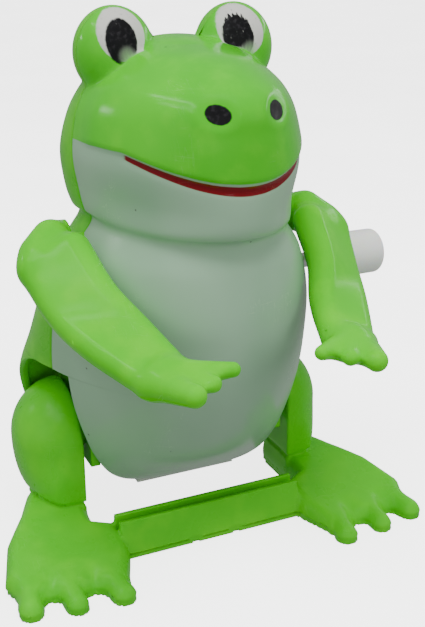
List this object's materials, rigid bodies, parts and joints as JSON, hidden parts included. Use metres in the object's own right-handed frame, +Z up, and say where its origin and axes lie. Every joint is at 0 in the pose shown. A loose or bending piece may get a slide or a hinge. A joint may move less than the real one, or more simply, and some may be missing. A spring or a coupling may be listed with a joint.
{
  "type": "wind-up jumping frog",
  "caption": "Small moulded plastic wind-up toy frog with a two-part body, bent arms, a clockwork motor with a side knob, and a one-piece kicking leg frame.",
  "frame": {"origin": "middle of the crossbar's underside, on the surface that the frog stands on", "axes": "+Z up, the frog looks along -Y, +X towards the frog's own left, where the winding knob is"},
  "size_m": [0.0689, 0.0591, 0.0788],
  "materials": {
    "front_shell": "gloss, with a green painted upper head",
    "green_plastic": "gloss",
    "case_plastic": "satin",
    "knob_plastic": "milky satin",
    "gear_plastic": "satin",
    "steel": "satin",
    "spring_steel": "satin"
  },
  "bodies": {
    "body": {"front_shell": "front_shell", "back_shell": "green_plastic", "motor_case_left": "case_plastic", "motor_case_right": "case_plastic", "mainspring": "spring_steel", "pallet_pin": "steel", "hip_pin_left": "steel", "hip_pin_right": "steel", "hip_spring_left": "spring_steel", "hip_spring_right": "spring_steel"},
    "legs": {"leg_frame": "green_plastic"},
    "left_arm": {"arm_left": "green_plastic"},
    "right_arm": {"arm_right": "green_plastic"},
    "winding": {"winding_arbor": "steel", "great_wheel": "gear_plastic", "winding_knob": "knob_plastic"},
    "second_train": {"second_wheel": "gear_plastic", "second_arbor": "steel"},
    "cam_train": {"cam_wheel": "gear_plastic", "cam_shaft": "steel", "crank_left": "steel", "crank_right": "steel"},
    "escape_train": {"escape_wheel": "gear_plastic", "escape_arbor": "steel"},
    "pallet_lever": {"pallet": "gear_plastic"}
  },
  "joints": [
    {"name": "hip", "type": "hinge", "parent": "body", "child": "legs", "pos_m": [0, 0.014, 0.016], "axis": [1, 0, 0], "range_deg": [0, 40], "stiffness_Nm_per_rad": 0.012, "springref_deg": -20.05, "deforming": ["hip_spring_left", "hip_spring_right"]},
    {"name": "left_shoulder", "type": "hinge", "parent": "body", "child": "left_arm", "pos_m": [0.016, 0.0113, 0.0458], "axis": [1, 0, 0], "range_deg": [-40, 0]},
    {"name": "right_shoulder", "type": "hinge", "parent": "body", "child": "right_arm", "pos_m": [-0.016, 0.0113, 0.0458], "axis": [1, 0, 0], "range_deg": [-40, 0]},
    {"name": "knob_turn", "type": "hinge", "parent": "body", "child": "winding", "pos_m": [0, 0.0113, 0.0385], "axis": [1, 0, 0], "continuous": true, "deforming": ["mainspring"]},
    {"name": "second_turn", "type": "hinge", "parent": "body", "child": "second_train", "pos_m": [0, 0.00976, 0.02755], "axis": [1, 0, 0], "continuous": true},
    {"name": "cam_turn", "type": "hinge", "parent": "body", "child": "cam_train", "pos_m": [0, 0.0205, 0.02011], "axis": [1, 0, 0], "continuous": true},
    {"name": "escape_turn", "type": "hinge", "parent": "body", "child": "escape_train", "pos_m": [0, 0.01849, 0.03144], "axis": [1, 0, 0], "continuous": true},
    {"name": "pallet_rock", "type": "hinge", "parent": "body", "child": "pallet_lever", "pos_m": [0, 0.01929, 0.03789], "axis": [1, 0, 0], "range_deg": [-5, 5]}
  ],
  "couplings": [
    {"joint": "second_turn", "follows": "knob_turn", "ratio": -3.4},
    {"joint": "cam_turn", "follows": "knob_turn", "ratio": 3.9667},
    {"joint": "escape_turn", "follows": "knob_turn", "ratio": 9.52}
  ]
}
